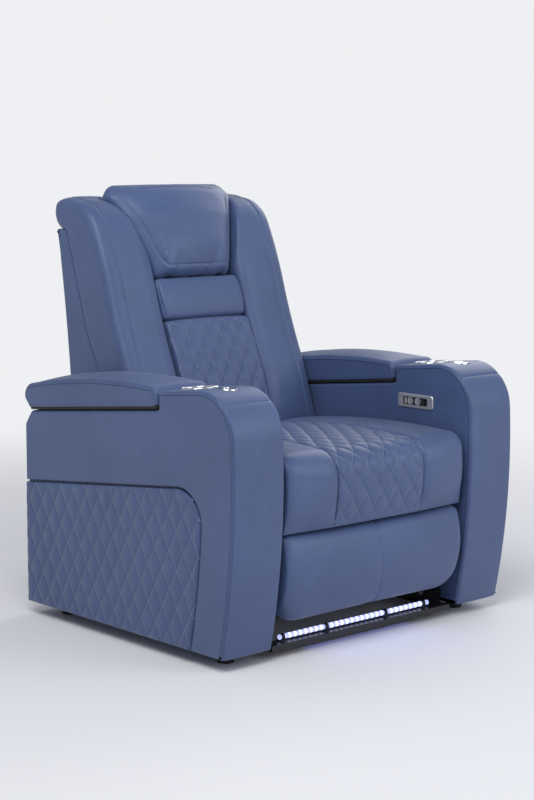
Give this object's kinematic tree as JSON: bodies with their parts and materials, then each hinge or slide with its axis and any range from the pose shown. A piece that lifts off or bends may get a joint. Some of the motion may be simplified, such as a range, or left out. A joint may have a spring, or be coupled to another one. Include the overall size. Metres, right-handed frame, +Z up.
{
  "type": "cinema recliner seat",
  "caption": "Powered home cinema recliner with bowed padded arms, quilted panels, flip-up arm storage, cup holders and a folding footrest.",
  "frame": {"origin": "middle of the footprint on the floor", "axes": "+Z up, front of the seat towards -Y, +X to the right as seen from the front"},
  "size_m": [0.922, 0.8951, 1.0615],
  "materials": {
    "blue_leather": "smooth semi-aniline leather, satin",
    "quilted_leather": "diamond-quilted leather, satin",
    "plywood": "raw plywood",
    "black_steel": "black enamel",
    "zinc_steel": "zinc plated",
    "brushed_nickel": "brushed nickel",
    "stainless": "spun stainless steel",
    "chrome": "polished chrome",
    "black_plastic": "moulded, fine grain",
    "light_tube": "frosted clear tube, lit blue-white",
    "nylon": "natural nylon",
    "rubber": "matte"
  },
  "bodies": {
    "base": {"base_frame": "black_steel", "front_rail": "black_steel", "led_tube": "light_tube", "led_clips": "black_plastic", "feet": "rubber", "arm_bolts": "zinc_steel", "power_supply": "black_plastic", "right_arm_cover": "blue_leather", "left_arm_cover": "blue_leather", "right_arm_frame": "plywood", "left_arm_frame": "plywood", "right_side_panel": "quilted_leather", "left_side_panel": "quilted_leather", "right_storage_bin": "black_plastic", "left_storage_bin": "black_plastic", "right_cup_holder": "stainless", "left_cup_holder": "stainless", "cup_rings": "chrome", "right_tray_socket": "chrome", "left_tray_socket": "chrome", "lid_hinges": "zinc_steel", "control_bezel": "brushed_nickel", "control_housing": "black_plastic"},
    "left_lid": {"left_lid_board": "plywood", "left_lid_pad": "blue_leather"},
    "right_lid": {"right_lid_board": "plywood", "right_lid_pad": "blue_leather"},
    "recline_switch": {"recline_rocker": "brushed_nickel"},
    "headrest_switch": {"headrest_rocker": "brushed_nickel"},
    "home_switch": {"home_button": "brushed_nickel"},
    "carriage": {"seat_frame": "black_steel", "seat_springs": "zinc_steel", "seat_cushion": "quilted_leather", "right_seat_bolster": "blue_leather", "left_seat_bolster": "blue_leather", "right_mechanism_plate": "black_steel", "left_mechanism_plate": "black_steel", "slide_shoes": "nylon", "footrest_motor": "black_plastic", "recline_motor": "black_plastic"},
    "footrest_drive": {"footrest_rod": "zinc_steel"},
    "recline_drive": {"recline_rod": "zinc_steel"},
    "front_link": {"front_links": "black_steel"},
    "rear_link": {"rear_links": "black_steel"},
    "upper_link": {"upper_links": "black_steel"},
    "lower_link": {"lower_links": "black_steel"},
    "footrest": {"footrest_board": "plywood", "footrest_pad": "blue_leather"},
    "backrest": {"back_frame": "black_steel", "back_shell": "blue_leather", "back_core": "blue_leather", "right_wing": "blue_leather", "left_wing": "blue_leather", "lumbar_motor": "black_plastic", "headrest_motor": "black_plastic"},
    "lumbar": {"lumbar_pad": "quilted_leather", "lumbar_plate": "black_steel"},
    "headrest": {"headrest_pad": "blue_leather", "headrest_bracket": "black_steel"},
    "headrest_drive": {"headrest_rod": "zinc_steel"}
  },
  "joints": [
    {"name": "seat_slide", "type": "slide", "parent": "base", "child": "carriage", "axis": [0, -1, 0], "range_m": [0, 0.07]},
    {"name": "back_recline", "type": "hinge", "parent": "carriage", "child": "backrest", "pos_m": [0, 0.1901, 0.36], "axis": [-1, 0, 0], "range_deg": [0, 35.01]},
    {"name": "recline_rod_slide", "type": "slide", "parent": "carriage", "child": "recline_drive", "axis": [0, -1, 0], "range_m": [0, 0.0674]},
    {"name": "lumbar_slide", "type": "slide", "parent": "backrest", "child": "lumbar", "axis": [0, -0.9245, 0.3811], "range_m": [0, 0.025]},
    {"name": "headrest_tilt", "type": "hinge", "parent": "backrest", "child": "headrest", "pos_m": [0, 0.2451, 0.845], "axis": [1, 0, 0], "range_deg": [0, 30]},
    {"name": "headrest_rod_slide", "type": "slide", "parent": "backrest", "child": "headrest_drive", "axis": [0, 0.3811, 0.9245], "range_m": [0, 0.0233]},
    {"name": "footrest_open", "type": "hinge", "parent": "carriage", "child": "front_link", "pos_m": [0, -0.25583, 0.27712], "axis": [-1, 0, 0], "range_deg": [0, 131.72]},
    {"name": "rear_link_turn", "type": "hinge", "parent": "carriage", "child": "rear_link", "pos_m": [0, -0.21086, 0.25786], "axis": [-1, 0, 0], "range_deg": [0, 131.73]},
    {"name": "upper_link_turn", "type": "hinge", "parent": "front_link", "child": "upper_link", "pos_m": [0, -0.11354, 0.1397], "axis": [1, 0, 0], "range_deg": [0, 134.72]},
    {"name": "lower_link_turn", "type": "hinge", "parent": "front_link", "child": "lower_link", "pos_m": [0, -0.09062, 0.11756], "axis": [1, 0, 0], "range_deg": [0, 132.6]},
    {"name": "footrest_turn", "type": "hinge", "parent": "upper_link", "child": "footrest", "pos_m": [0, -0.34345, 0.24503], "axis": [-1, 0, 0], "range_deg": [0, 93]},
    {"name": "footrest_rod_slide", "type": "slide", "parent": "carriage", "child": "footrest_drive", "axis": [0, -1, 0], "range_m": [0, 0.095]},
    {"name": "left_lid_open", "type": "hinge", "parent": "base", "child": "left_lid", "pos_m": [-0.382, 0.32766, 0.51586], "axis": [-1, 0, 0], "range_deg": [0, 80]},
    {"name": "right_lid_open", "type": "hinge", "parent": "base", "child": "right_lid", "pos_m": [0.382, 0.32766, 0.51586], "axis": [-1, 0, 0], "range_deg": [0, 80]},
    {"name": "recline_rocker_tilt", "type": "hinge", "parent": "base", "child": "recline_switch", "pos_m": [0.3115, -0.2382, 0.5245], "axis": [0, 0, 1], "range_deg": [-6, 6], "stiffness_Nm_per_rad": 0.5},
    {"name": "headrest_rocker_tilt", "type": "hinge", "parent": "base", "child": "headrest_switch", "pos_m": [0.3115, -0.2636, 0.5245], "axis": [0, 0, 1], "range_deg": [-6, 6], "stiffness_Nm_per_rad": 0.5},
    {"name": "home_button_press", "type": "slide", "parent": "base", "child": "home_switch", "axis": [1, 0, 0], "range_m": [0, 0.0015], "stiffness_N_per_m": 400}
  ],
  "couplings": [
    {"joint": "back_recline", "follows": "seat_slide", "rad_per_m": 8.7266},
    {"joint": "recline_rod_slide", "follows": "seat_slide", "ratio": 0.96226},
    {"joint": "headrest_rod_slide", "follows": "headrest_tilt", "m_per_rad": 0.044488},
    {"joint": "rear_link_turn", "follows": "footrest_open", "ratio": 1},
    {"joint": "upper_link_turn", "follows": "footrest_open", "ratio": 1.0226},
    {"joint": "lower_link_turn", "follows": "footrest_open", "ratio": 1.0065},
    {"joint": "footrest_turn", "follows": "footrest_open", "ratio": 0.70587},
    {"joint": "footrest_rod_slide", "follows": "footrest_open", "m_per_rad": 0.041282}
  ]
}
